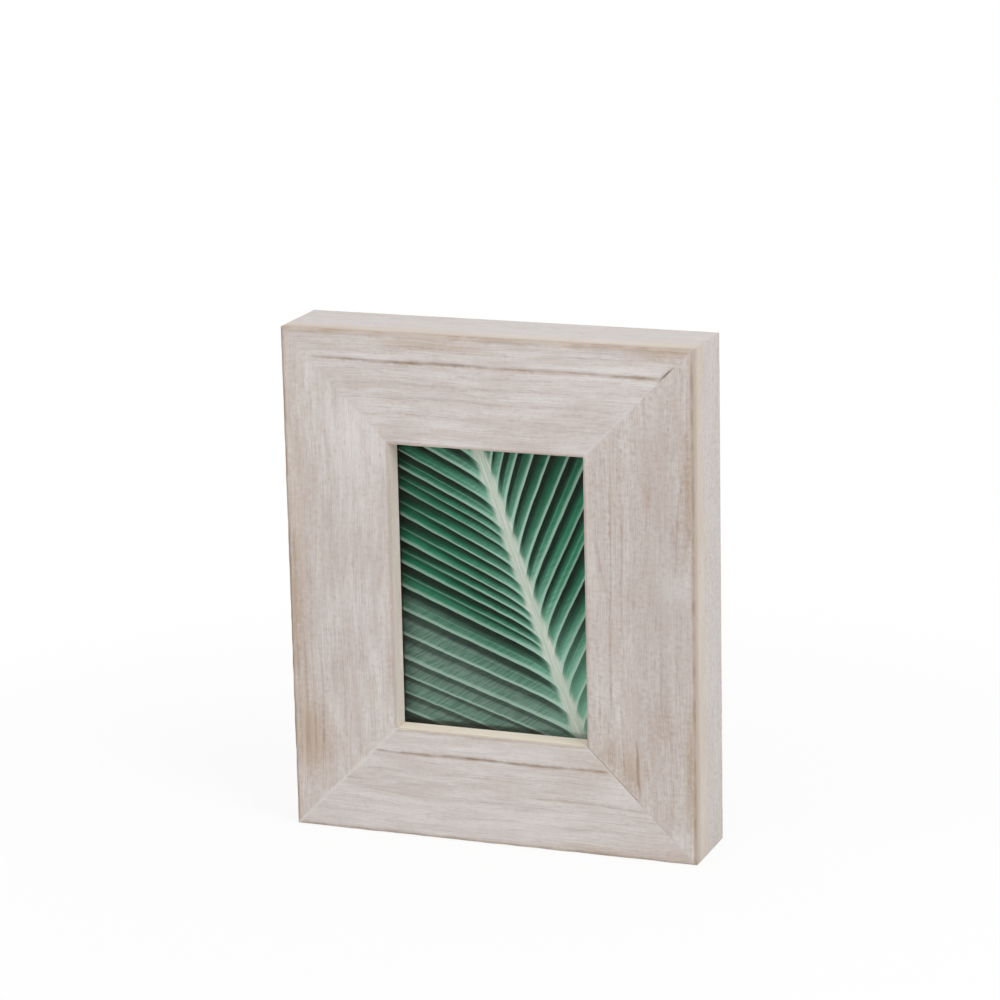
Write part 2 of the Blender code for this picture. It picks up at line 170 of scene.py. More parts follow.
class Recipe:
    """A material, or the room's light, and the nodes that mix it."""

    def __init__(self, name: str, room: bool = False) -> None:
        """Starts without nodes.

        Args:
            name: The finish in plain words.
            room: Whether it is the room's light.
        """
        self.owner = (bpy.data.worlds if room else bpy.data.materials).new(name)
        self.end = "ShaderNodeOutputWorld" if room else "ShaderNodeOutputMaterial"
        self.owner.use_nodes = True
        self.tree = self.owner.node_tree
        self.tree.nodes.clear()

    def node(
        self,
        kind: str,
        settings: Mapping[str, object],
        inputs: Union[Sequence[object], Mapping[Union[str, int], object]],
        output: Union[str, int] = 0,
    ) -> Wire:
        """Adds one node.

        Args:
            kind: The node's type.
            settings: Its own properties, which are set first.
            inputs: What its sockets get: values or wires, in order or by name or place.
            output: Which of its outputs is used.

        Returns:
            That output.
        """
        made = self.tree.nodes.new(kind)
        for name, value in settings.items():
            setattr(made, name, value)
        for key, value in inputs.items() if isinstance(inputs, Mapping) else enumerate(inputs):
            if isinstance(value, Wire):
                self.tree.links.new(value.socket, made.inputs[key])
            else:
                made.inputs[key].default_value = value
        return Wire(self, made.outputs[output])

    def mapped(
        self, turn: float = 0.0, shift: Sequence[float] = (0.0, 0.0, 0.0), scale: float = 1 / MM
    ) -> Wire:
        """Gives the surface's place as the object has it, turned about Y and moved.

        Args:
            turn: The angle about Y, in radians.
            shift: What is added after the turn.
            scale: What the place is multiplied by first.

        Returns:
            The place as a vector.
        """
        place = self.node("ShaderNodeTexCoord", {}, {}, "Object")
        inputs = [place, shift, (0.0, turn, 0.0), (scale, scale, scale)]
        return self.node("ShaderNodeMapping", {}, inputs)

    def parts(self, vector: Wire) -> tuple[Wire, ...]:
        """Splits a vector into its three parts."""
        split = self.node("ShaderNodeSeparateXYZ", {}, [vector]).socket.node
        return tuple(Wire(self, part) for part in split.outputs)

    def cloud(
        self,
        place: Union[Wire, tuple[Field, Field, Field]],
        detail: float = 3.0,
        rough: float = 0.6,
        scale: float = 1.0,
    ) -> Wire:
        """Gives soft noise about 0.5.

        Args:
            place: Where it is read, as a vector or in three parts.
            detail: How many finer layers are added.
            rough: How strong the finer layers are.
            scale: How fine it is.

        Returns:
            The noise's value.
        """
        spot = place if isinstance(place, Wire) else self.node("ShaderNodeCombineXYZ", {}, place)
        inputs = {"Vector": spot, "Scale": scale, "Detail": detail, "Roughness": rough}
        return self.node("ShaderNodeTexNoise", {}, inputs)

    def chance(self, value: Wire) -> Wire:
        """Gives a random number from 0 to 1 that belongs to a value."""
        return self.node("ShaderNodeTexWhiteNoise", {"noise_dimensions": "1D"}, {"W": value})

    def blend(self, part: Field, first: object, second: object) -> Wire:
        """Mixes a part of the second colour into the first."""
        settings = {"data_type": "RGBA", "clamp_factor": True}
        return self.node("ShaderNodeMix", settings, {0: part, 6: first, 7: second}, 2)

    def coats(self, colour: object, *coats: tuple[Field, object]) -> Wire:
        """Lays coats over a colour.

        Args:
            colour: The colour at the bottom.
            coats: Each coat's cover, from 0 to 1, and its colour.

        Returns:
            The colour on top.
        """
        for cover, coat in coats:
            colour = self.blend(cover, colour, coat)
        return colour

    def bump(self, height: Wire, depth: float) -> Wire:
        """Bends the normal by a height, of which 1 stands for a depth in metres."""
        inputs = {"Strength": 1.0, "Distance": depth, "Height": height}
        return self.node("ShaderNodeBump", {}, inputs)

    def output(self, shader: Wire) -> Union[bpy.types.Material, bpy.types.World]:
        """Ends in a shader.

        Args:
            shader: The shader.

        Returns:
            The material, or the room's light.
        """
        end = self.tree.nodes.new(self.end)
        self.tree.links.new(shader.socket, end.inputs["Surface"])
        return self.owner

    def finish(self, **sockets: object) -> bpy.types.Material:
        """Ends in a Principled shader, whose sockets are named with underscores for spaces."""
        inputs = {name.replace("_", " "): value for name, value in sockets.items()}
        return self.output(self.node("ShaderNodeBsdfPrincipled", {}, inputs))


# Modelling by operators


def lay_down_tools() -> None:
    """Leaves edit mode and selects nothing."""
    if bpy.context.object and bpy.context.object.mode != "OBJECT":
        bpy.ops.object.mode_set(mode="OBJECT")
    bpy.ops.object.select_all(action="DESELECT")


def take_up(piece: bpy.types.Object) -> None:
    """Makes a piece the only one that is selected and active.

    Args:
        piece: The piece.
    """
    lay_down_tools()
    piece.select_set(True)
    bpy.context.view_layer.objects.active = piece


def pick_all() -> None:
    """Selects the whole mesh in edit mode."""
    bpy.ops.mesh.select_all(action="SELECT")


def pick(piece: bpy.types.Object, kind: str, test: Callable[[list[Vector]], bool]) -> None:
    """Selects the vertices or edges of a piece that pass a test.

    Args:
        piece: The piece, in edit mode.
        kind: VERT or EDGE.
        test: Says of the places of the ends whether one is picked.
    """
    bpy.ops.mesh.select_mode(type=kind)
    bpy.ops.mesh.select_all(action="DESELECT")
    mesh = bmesh.from_edit_mesh(piece.data)
    for element in mesh.verts if kind == "VERT" else mesh.edges:
        ends = [element] if kind == "VERT" else element.verts
        if test([end.co for end in ends]):
            element.select_set(True)
    bmesh.update_edit_mesh(piece.data)


def pull(*offset: float) -> None:
    """Extrudes what is selected by an offset in metres."""
    bpy.ops.mesh.extrude_region_move(TRANSFORM_OT_translate={"value": offset})


def near(value: float, target: float, slack: float = 2e-5) -> bool:
    """Says whether two lengths are the same."""
    return abs(value - target) < slack


# The rails' own shapes and marks


class Side(Enum):
    """A rail's place in the frame, as quarter turns from the left stile."""

    LEFT = 0
    TOP = 1
    RIGHT = 2
    BOTTOM = 3

    @property
    def node(self) -> str:
        """The rail's name in the model."""
        return f"{self.name.lower()}_{'rail' if self.value % 2 else 'stile'}"

    @property
    def turn(self) -> float:
        """The rail's angle about Y."""
        return self.value * math.pi / 2


class Tint(Enum):
    """What shows at a mark on the whitewashed face."""

    BARE = "bare wood"
    CHALK = "thick wash"
    DIRT = "dark glaze"


@dataclass(frozen=True)
class Vein:
    """A dark growth line that runs along a rail as a shallow groove, in millimetres."""

    inset: float
    start: float
    end: float
    width: float = 0.9
    depth: float = 0.5
    strength: float = 1.0
    lean: float = 0.0
    sway: float = 0.5
    phase: float = 0.0
    fade: float = 8.0

    def mask(self, inset: Field, along: Field) -> Field:
        """Shows the groove, which sways, breaks up and fades at its ends.

        Args:
            inset: Distance from the rail's outer face.
            along: Place along the rail.

        Returns:
            A mask from 0 to 1.
        """
        wave = sine(along * (TURN / 71) + self.phase)
        wave = wave + sine(along * (TURN / 23) + 2 * self.phase) * 0.35
        centre = along * self.lean + wave * self.sway + self.inset
        ends = ramp(along, self.start - self.fade, self.start + self.fade)
        ends = ends * (1 - ramp(along, self.end - self.fade, self.end + self.fade))
        broken = sine(along * (TURN / 43) + self.phase * 7 + self.inset)
        broken = broken * sine(along * (TURN / 19) + self.phase)
        return bell(inset, centre, self.width) * ends * (broken * 0.3 + 0.85)


@dataclass(frozen=True)
class Patch:
    """A soft area of the face with another tint, in millimetres."""

    tint: Tint
    inset: float
    along: float
    wide: float
    long: float
    strength: float = 1.0

    def mask(self, inset: Field, along: Field) -> Field:
        """Shows the area, from 0 to its strength."""
        area = bell(inset, self.inset, self.wide) * bell(along, self.along, self.long)
        return area * self.strength


@dataclass(frozen=True)
class Knot:
    """A knot or a cathedral peak that the grain bends around, in millimetres."""

    inset: float
    along: float
    wide: float
    long: float
    push: float
    eye: float = 0.0

    def ring(self, inset: Field, along: Field) -> Field:
        """Shows the dark ring round the knot's eye, and a fainter one in it.

        Args:
            inset: Distance from the rail's outer face.
            along: Place along the rail.

        Returns:
            A mask from 0 to the eye's strength.
        """
        wide = (inset - self.inset) * (1.2 / self.wide)
        long = (along - self.along) * (1.2 / self.long)
        away = root(wide * wide + long * long)
        return (bell(away, 1.0, 0.2) + bell(away, 0.5, 0.2) * 0.35) * self.eye

    def shift(self, inset: Field, along: Field) -> Field:
        """Gives how far the grain is pushed aside."""
        return bell(inset, self.inset, self.wide) * bell(along, self.along, self.long) * self.push


@dataclass(frozen=True)
class Seam:
    """How the mitre shows at one end of a rail, and where a splinter has come off it."""

    tint: Tint = Tint.DIRT
    strength: float = 0.5
    starts: float = 0.0
    chip_inset: float = 0.0
    chip_long: float = 0.0

    def mask(self, inset: Field) -> Field:
        """Shows the line from where it starts to the sight edge, and faintly outside that."""
        return (ramp(inset, self.starts - 9.0, self.starts) * 0.8 + 0.2) * self.strength


@dataclass(frozen=True)
class Marks:
    """What growth, sanding and washing left on one rail, and the light and shade painted on its
    edges.
    """

    seed: float
    veins: tuple[Vein, ...]
    patches: tuple[Patch, ...]
    knots: tuple[Knot, ...]
    low_seam: Seam
    high_seam: Seam
    # How strong the line along the outer arris is: worn wood with painted shade of the rounded edge
    edge_line: float
    edge_at: float
    cream_end: float = 16.0
    wash: float = 0.0
    # How pale the sight wall is: wood bared by sanding, with painted light
    sanded: float = 0.55
    sway: float = 0.5
    uneven: float = 0.6

    def figure(self, inset: Field, along: Field) -> Field:
        """Gives the place across the grain, which sways and bends round knots.

        Args:
            inset: Distance from the rail's outer face.
            along: Place along the rail.

        Returns:
            The place across the grain.
        """
        across = inset + sine(along * (TURN / 130) + self.seed) * self.sway
        ripple = sine(along * (TURN / 47) + inset * 0.11 + self.seed * 3) * (self.sway * 0.4)
        return sum((knot.shift(inset, along) for knot in self.knots), across + ripple)

    def tinted(self, tint: Tint, inset: Field, along: Field) -> Field:
        """Adds up the patches of one tint."""
        masks = [patch.mask(inset, along) for patch in self.patches if patch.tint is tint]
        return sum(masks, along * 0.0)

    def grooves(self, inset: Field, along: Field, deep: bool = False) -> Field:
        """Adds up the veins and the knots' rings.

        Args:
            inset: Distance from the rail's outer face.
            along: Place along the rail.
            deep: Whether their depth counts, or else their strength.

        Returns:
            Their mask.
        """
        masks = [v.mask(inset, along) * (v.depth if deep else v.strength) for v in self.veins]
        masks += [k.ring(inset, along) * (0.3 if deep else 0.6) for k in self.knots if k.eye]
        return sum(masks, along * 0.0)

    def seams(self) -> tuple[tuple[Seam, float], ...]:
        """Gives each end's seam with the sign of its end."""
        return (self.low_seam, -1.0), (self.high_seam, 1.0)


LEFT_MARKS = Marks(
    seed=1.7,
    veins=(
        Vein(3.6, -60, 26, 0.9, 0.18, 0.26, sway=0.4),
        Vein(8.4, -112, -30, 0.7, 0.18, 0.26, sway=0.3, phase=1.0),
        Vein(13.0, -108, 8, 0.6, 0.16, 0.22, sway=0.3, phase=2.1),
        Vein(18.5, -100, -44, 0.6, 0.16, 0.22, sway=0.3, phase=0.4),
        Vein(27.0, -60, 90, 0.7, 0.1, 0.12, phase=2.8),
    ),
    patches=(
        Patch(Tint.BARE, 12, -92, 11, 20, 0.95),
        Patch(Tint.BARE, 3, -15, 6, 42, 0.45),
        Patch(Tint.BARE, 5, 10, 7, 120, 0.35),
        Patch(Tint.CHALK, 48, 88, 20, 30, 0.7),
        Patch(Tint.CHALK, 40, -5, 12, 40, 0.2),
        Patch(Tint.DIRT, 30, 0, 24, 70, 0.25),
    ),
    knots=(Knot(34, 20, 14, 60, 1.5),),
    low_seam=Seam(Tint.CHALK, 0.6),
    high_seam=Seam(Tint.CHALK, 0.15, starts=45),
    edge_line=1.05,
    edge_at=1.3,
    wash=-0.04,
    sanded=0.35,
    uneven=1.0,
)
TOP_MARKS = Marks(
    seed=4.3,
    veins=(
        Vein(16.5, -101, 100, 0.85, 0.42, 0.5, lean=0.003, sway=0.25, fade=4),
        Vein(16.3, -52, -12, 1.4, 0.1, 0.28, sway=0.25, fade=9),
        Vein(17.0, 74, 101, 1.4, 0.1, 0.28, sway=0.25, fade=5),
        Vein(23.0, -20, 64, 0.9, 0.12, 0.14, sway=0.4, phase=1.3),
        Vein(29.0, -86, 40, 1.0, 0.12, 0.12, phase=2.4),
        Vein(37.0, -50, 74, 0.9, 0.12, 0.13, sway=0.6, phase=0.2),
        Vein(46.0, -60, 60, 0.8, 0.1, 0.11, phase=3.0),
    ),
    patches=(
        Patch(Tint.BARE, 6.2, -32, 3.5, 30, 0.7),
        Patch(Tint.BARE, 3.4, 106, 4, 20, 0.6),
        Patch(Tint.CHALK, 13.6, -72, 1.4, 28, 1.0),
        Patch(Tint.CHALK, 14.0, 62, 1.4, 38, 1.3),
        Patch(Tint.CHALK, 19.2, 60, 1.3, 34, 1.0),
        Patch(Tint.CHALK, 22.0, 0, 3.5, 90, 0.35),
    ),
    knots=(Knot(40, 30, 12, 45, -1.6), Knot(28, -50, 9, 40, 1.4)),
    low_seam=Seam(Tint.CHALK, 0.15, starts=45),
    high_seam=Seam(Tint.CHALK, 0.4, starts=40, chip_inset=14.2, chip_long=3.2),
    edge_line=0.7,
    edge_at=2.0,
    cream_end=11.0,
    wash=0.02,
)
RIGHT_MARKS = Marks(
    seed=2.9,
    veins=(
        Vein(48.6, -74, 62, 0.6, 0.25, 0.36, lean=0.012, sway=0.3),
        Vein(50.0, -38, -4, 0.8, 0.2, 0.25, lean=-0.20, sway=0.3, fade=9),
        Vein(36.2, 78, 107, 0.8, 0.4, 0.75, lean=-0.03, fade=5),
        Vein(13.5, -76, -24, 0.9, 0.22, 0.30, lean=0.09, fade=9),
        Vein(20.0, -60, 70, 0.8, 0.1, 0.14, sway=0.6, phase=1.1),
        Vein(42.0, -60, 84, 0.8, 0.1, 0.15, phase=2.2),
    ),
    patches=(
        Patch(Tint.CHALK, 57, -10, 5, 90, 0.1),
        Patch(Tint.DIRT, 20, -10, 24, 140, 0.6),
        Patch(Tint.DIRT, 56, 0, 8, 80, 0.35),
        Patch(Tint.BARE, 3.5, -70, 3.2, 30, 0.7),
        Patch(Tint.BARE, 3.0, 88, 3.0, 34, 0.75),
        Patch(Tint.CHALK, 11, -12, 5, 9, 0.7),
        Patch(Tint.BARE, 37, 94, 9, 13, 0.7),
        Patch(Tint.BARE, 18, 68, 8, 12, 0.35),
        Patch(Tint.BARE, 27, -64, 3, 9, 0.45),
        Patch(Tint.BARE, 50, 86, 6, 9, 0.5),
        Patch(Tint.CHALK, 9, 134, 4, 6, 0.7),
    ),
    knots=(
        Knot(7.6, -43, 5.8, 8, 2.0, eye=0.26),
        Knot(26, -60, 8, 26, 3.0),
        Knot(30, 40, 14, 50, -2.0),
    ),
    low_seam=Seam(Tint.CHALK, 0.3, starts=40),
    high_seam=Seam(Tint.DIRT, 0.7, starts=38),
    edge_line=1.05,
    edge_at=0.7,
    wash=-0.08,
    uneven=1.5,
)
BOTTOM_MARKS = Marks(
    seed=6.1,
    veins=(
        Vein(49.2, -69, 71, 0.8, 0.42, 0.7, sway=0.25, phase=0.5, fade=3),
        Vein(49.3, -40, 32, 1.2, 0.1, 0.25, sway=0.25, phase=0.5, fade=12),
        Vein(30.5, -92, -22, 0.8, 0.2, 0.3, lean=0.02, sway=0.3),
        Vein(24.0, -40, 84, 0.6, 0.12, 0.12, phase=1.9),
        Vein(38.0, -30, 76, 0.6, 0.12, 0.12, phase=0.9),
        Vein(14.0, -90, 60, 0.6, 0.1, 0.1, sway=0.6, phase=2.5),
    ),
    patches=(
        Patch(Tint.BARE, 2.5, -62, 3, 26, 0.6),
        Patch(Tint.BARE, 4, -112, 5, 9, 0.5),
        Patch(Tint.BARE, 52, -64, 5, 8, 0.3),
        Patch(Tint.CHALK, 53, 5, 3.2, 60, 0.45),
        Patch(Tint.CHALK, 12, 10, 12, 90, 0.5),
    ),
    knots=(Knot(26, 10, 14, 60, 1.5),),
    low_seam=Seam(Tint.CHALK, 0.35, starts=38),
    high_seam=Seam(Tint.CHALK, 0.6),
    edge_line=0.6,
    edge_at=1.6,
    wash=0.05,
    # Painted light: the bottom rail's sight wall faces up to the light
    sanded=0.95,
)


@dataclass(frozen=True)
class Moulding:
    """The section that all four rails are milled to, in metres, front face at depth 0."""

    face: float = 0.0635
    depth: float = 0.050
    wall: float = 0.018
    ledge: float = 0.0192
    lip: float = 0.013
    rebate: float = 0.007
    outer_round: float = 0.0016
    sight_round: float = 0.0012
    rim_round: float = 0.0008
    fillet: float = 0.0025
    length: float = 0.296
    round_steps: int = 3
    face_step: float = 0.00048
    side_step: float = 0.0008
    hidden_step: float = 0.0024
    most_cuts: int = 50
    long_cuts: tuple[int, int] = (12, 12)

    @property
    def heel(self) -> float:
        """The inset at which the rebate starts."""
        return self.face - self.rebate

    def corners(self) -> list[Place]:
        """Lists the inset, depth and radius of each corner of the section."""
        return [
            (0.0, 0.0, self.outer_round),
            (self.face, 0.0, self.sight_round),
            (self.face, self.lip, self.rim_round / 2),
            (self.heel, self.ledge, self.rim_round / 2),
            (self.wall, self.ledge, self.fillet),
            (self.wall, self.depth, self.rim_round),
            (0.0, self.depth, self.outer_round),
        ]

    def section(self) -> bpy.types.Object:
        """Cuts the section as a loop of edges, at the foot of the length.

        Returns:
            The loop, in edit mode.
        """
        lay_down_tools()
        foot, centre = -self.length / 2, self.ledge / 2
        bpy.ops.mesh.primitive_plane_add(size=self.ledge, location=(centre, centre, foot))
        stick = bpy.context.object

        def widen(inset: float, deep: float, width: float) -> None:
            """Extrudes the section sideways at an inset, from the front to a depth."""
            limit = deep + WELD * 10
            pick(stick, "EDGE", lambda ends: all(near(e.x, inset) and e.y < limit for e in ends))
            pull(width, 0, 0)

        bpy.ops.object.transform_apply(location=True, rotation=True, scale=True)
        bpy.ops.object.mode_set(mode="EDIT")
        pick_all()
        bpy.ops.transform.resize(value=(self.wall / self.ledge, 1, 1), center_override=(0, 0, foot))
        pick(stick, "EDGE", lambda ends: all(near(end.y, self.ledge) for end in ends))
        pull(0, self.depth - self.ledge, 0)
        widen(self.wall, self.ledge, self.heel - self.wall)
        pick_all()
        bpy.ops.mesh.bisect(plane_co=(0, self.lip, 0), plane_no=(0, 1, 0))
        widen(self.heel, self.lip, self.rebate)
        pick_all()
        bpy.ops.mesh.remove_doubles(threshold=WELD)
        pick_all()
        bpy.ops.mesh.dissolve_limited(angle_limit=math.radians(1))
        for inset, depth, radius in self.corners():
            pick(stick, "VERT", lambda ends: near(ends[0].x, inset) and near(ends[0].y, depth))
            bpy.ops.mesh.bevel(
                affect="VERTICES", offset=radius, offset_type="OFFSET", segments=self.round_steps
            )
        pick_all()
        bpy.ops.mesh.delete(type="ONLY_FACE")
        return stick

    def step(self, place: Vector) -> float:
        """Gives how finely an edge of the section is divided.

        Args:
            place: The edge's middle.

        Returns:
            The length of one division.
        """
        if near(place.y, 0):
            return self.face_step
        if near(place.x, 0) or near(place.x, self.face):
            return self.side_step
        return self.hidden_step

    def divide(self, stick: bpy.types.Object) -> None:
        """Divides the section's straight edges, so that the relief has points to move.

        Args:
            stick: The section, in edit mode.
        """
        wanted: list[tuple[Vector, int]] = []
        for edge in bmesh.from_edit_mesh(stick.data).edges:
            middle = (edge.verts[0].co + edge.verts[1].co) / 2
            wanted.append((middle, round(edge.calc_length() / self.step(middle))))
        for middle, count in wanted:
            if count < 2:
                continue
            pick(stick, "EDGE", lambda ends: ((ends[0] + ends[1]) / 2 - middle).length < WELD)
            if count > self.most_cuts:
                bpy.ops.mesh.subdivide(number_cuts=1)
                count = round(count / 2)
            bpy.ops.mesh.subdivide(number_cuts=count - 1)

    def mill(self) -> bpy.types.Object:
        """Mills one length of the moulding, upright, open at both ends.

        Returns:
            The length, in a rail's own frame: inset, depth, along.
        """
        stick = self.section()
        self.divide(stick)
        pick_all()
        pull(0, 0, self.length)
        for cuts in self.long_cuts:
            pick(stick, "EDGE", lambda ends: (ends[1] - ends[0]).xy.length < PLUMB)
            bpy.ops.mesh.subdivide(number_cuts=cuts)
        pick_all()
        bpy.ops.mesh.normals_make_consistent(inside=False)
        bpy.ops.object.mode_set(mode="OBJECT")
        return stick


@dataclass(frozen=True)
class Relief:
    """How deep the marks of growth, tools and wear go, and how wide they are, in millimetres."""

    limit: float = 1.2
    brushed: float = 0.12
    swell: float = 0.08
    worn: float = 0.45
    chip: float = 0.9
    seam: float = 0.16
    seam_width: float = 0.7
    seam_gap: float = 0.01
    sawn: float = 0.05
    fine: tuple[float, float] = (1.1, 24.0)
    broad: tuple[float, float] = (7.0, 60.0)
    ragged: tuple[float, float] = (5.0, 9.0)
    face_ends: tuple[float, float] = (0.5, 3.0)
    recess: tuple[float, float] = (16.0, 18.0)
    recess_depth: tuple[float, float] = (12.0, 13.0)
    arris_wear: float = 2.6
    sight_wear: float = 2.0
    back_wear: float = 2.2
    smooth_angle: float = 48.0


@dataclass(frozen=True)
class Rail:
    """One rail: a length of moulding, mitred, brushed and washed, in millimetres."""

    side: Side
    marks: Marks
    moulding: Moulding
    relief: Relief
    half: float
    outer: float
    front: float
    middle: float

    def from_mitre(self, inset: Field, along: Field) -> Field:
        """Gives the distance from the nearer mitre."""
        return (self.half - size_of(along) - inset) * math.sqrt(0.5)

    def chips(self, inset: Field, along: Field) -> Field:
        """Shows where splinters have come off a mitre.

        Args:
            inset: Distance from the rail's outer face.
            along: Place along the rail.

        Returns:
            A mask from 0 to 1.
        """
        masks = [
            bell(inset, seam.chip_inset, seam.chip_long) * ramp(along * sign, 0.0, 1.0)
            for seam, sign in self.marks.seams()
            if seam.chip_long
        ]
        return sum(masks, along * 0.0) * bell(self.from_mitre(inset, along), 0.3, 0.9)

    def noise_at(self, places: Sequence[np.ndarray], wide: float, long: float) -> np.ndarray:
        """Reads noise from about -1 to 1 that is one size across the grain and another along it."""
        spots = zip(places[0] / wide + self.marks.seed * 7, places[1] / wide, places[2] / long)
        return np.array([noise.noise(spot) for spot in spots])

    def depth_of_marks(self, inset: np.ndarray, depth: np.ndarray, along: np.ndarray) -> np.ndarray:
        """Works out how far each point sinks.

        Args:
            inset: Distance from the rail's outer face.
            depth: Distance from the front.
            along: Place along the rail.

        Returns:
            The depth of the marks in millimetres.
        """
        marks, relief = self.marks, self.relief
        grain = (marks.figure(inset, along), depth, along)
        fine, broad = [
            0.5 + 0.5 * self.noise_at(grain, *size) for size in (relief.fine, relief.broad)
        ]
        ragged = self.noise_at((inset, depth, along), *relief.ragged)
        ragged = np.clip(0.45 + 0.9 * ragged, 0.0, 1.0)
        face = 1 - ramp(depth, *relief.face_ends)
        inside = ramp(inset, *relief.recess) * ramp(depth, *relief.recess_depth)
        shown = 1 - inside
        sunk = fine * (relief.brushed * shown + relief.sawn * inside) + broad * relief.swell * shown
        sunk = sunk + marks.grooves(inset, along, deep=True) * face
        sunk = sunk + self.chips(inset, along) * face * relief.chip
        arris = 1 - ramp(inset + depth, 0.0, relief.arris_wear)
        sight = 1 - ramp((self.moulding.face / MM - inset) + depth, 0.0, relief.sight_wear)
        back = 1 - ramp(inset + (self.moulding.depth / MM - depth), 0.0, relief.back_wear)
        sunk = sunk + (arris + 0.5 * sight + 0.6 * back) * relief.worn * ragged
        seam = 1 - ramp(self.from_mitre(inset, along), 0.0, relief.seam_width)
        joint = np.where(along < 0, marks.low_seam.mask(inset), marks.high_seam.mask(inset))
        return sunk + seam * joint * relief.seam * shown

    def length(self, stick: bpy.types.Object) -> bpy.types.Object:
        """Takes a length of the moulding for this rail.

        Args:
            stick: The length of moulding.

        Returns:
            A copy with its own mesh.
        """
        rail = stick.copy()
        rail.data = stick.data.copy()
        rail.name = rail.data.name = f"{self.side.node}_limed"
        bpy.context.scene.collection.objects.link(rail)
        return rail

    def cut_mitres(self, rail: bpy.types.Object, away: float, through: bool) -> None:
        """Cuts along both mitres, or scores lines beside them.

        Args:
            rail: The rail, in its own frame.
            away: How far inside the mitre, in millimetres.
            through: Whether the ends come off and their end grain is closed.
        """
        take_up(rail)
        bpy.ops.object.mode_set(mode="EDIT")
        reach = (self.half - away * math.sqrt(2)) * MM
        for sign in (-1, 1):
            pick_all()
            bpy.ops.mesh.bisect(
                plane_co=(0, 0, sign * reach),
                plane_no=(1, 0, sign),
                use_fill=through,
                clear_outer=through,
            )
        if through:
            pick_all()
            bpy.ops.mesh.remove_doubles(threshold=WELD)
            bpy.ops.mesh.normals_make_consistent(inside=False)
        bpy.ops.object.mode_set(mode="OBJECT")

    def carve(self, rail: bpy.types.Object) -> None:
        """Sinks the grain, grooves and wear into the rail's faces.

        Args:
            rail: The sawn rail, in its own frame.
        """
        places = np.empty(len(rail.data.vertices) * 3, dtype=np.float32)
        rail.data.vertices.foreach_get("co", places)
        depths = self.depth_of_marks(*(places.reshape(-1, 3).astype(float) / MM).T)
        weights = np.clip(depths / self.relief.limit, 0.0, 1.0)
        group = rail.vertex_groups.new(name="relief")
        for index, weight in enumerate(weights.tolist()):
            group.add([index], weight, "REPLACE")
        sink = rail.modifiers.new("sink", "DISPLACE")
        sink.direction = "NORMAL"
        sink.mid_level = 0.0
        sink.strength = -self.relief.limit * MM
        sink.vertex_group = group.name
        take_up(rail)
        bpy.ops.object.modifier_apply(modifier=sink.name)
        rail.vertex_groups.clear()

    def offset(self) -> Vector:
        """Gives what the rail's own frame adds to the turned place, in millimetres."""
        return Vector((self.outer, -self.front, 0.0))

    def place(self, rail: bpy.types.Object) -> None:
        """Sets the rail in the frame, with its place in its mesh.

        Args:
            rail: The finished rail, in its own frame.
        """
        turned = Matrix.Rotation(self.side.turn, 4, "Y")
        centre = Matrix.Translation(Vector((0, 0, self.middle * MM)))
        rail.matrix_world = centre @ turned @ Matrix.Translation(-self.offset() * MM)
        take_up(rail)
        bpy.ops.object.transform_apply(location=True, rotation=True, scale=True)

    def build(self, stick: bpy.types.Object, wood: "LimedWood") -> bpy.types.Object:
        """Makes the rail from the moulding and finishes it.

        Args:
            stick: The length of moulding.
            wood: The finish.

        Returns:
            The rail in its place.
        """
        rail = self.length(stick)
        width = self.relief.seam_width
        for away in (width / 2, width, width * 3):
            self.cut_mitres(rail, away, through=False)
        self.carve(rail)
        self.cut_mitres(rail, self.relief.seam_gap, through=True)
        take_up(rail)
        bpy.ops.object.shade_smooth_by_angle(angle=math.radians(self.relief.smooth_angle))
        self.place(rail)
        rail.data.materials.clear()
        rail.data.materials.append(wood.coat(self))
        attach(rail, BODY)
        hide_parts(self.side.node)
        return rail

    def read(self, recipe: Recipe) -> tuple[Wire, ...]:
        """Gives the surface's place in the rail's own frame.

        Args:
            recipe: The material that reads it.

        Returns:
            Inset, depth and along, in millimetres.
        """
        back = Matrix.Rotation(-self.side.turn, 3, "Y")
        shift = self.offset() - back @ Vector((0, 0, self.middle))
        return recipe.parts(recipe.mapped(-self.side.turn, shift))


# Finishes


@dataclass(frozen=True)
class Streak:
    """Noise drawn out along the grain: its size in millimetres, and its detail and roughness."""

    wide: float
    long: float
    fineness: tuple[float, float] = (3.0, 0.55)


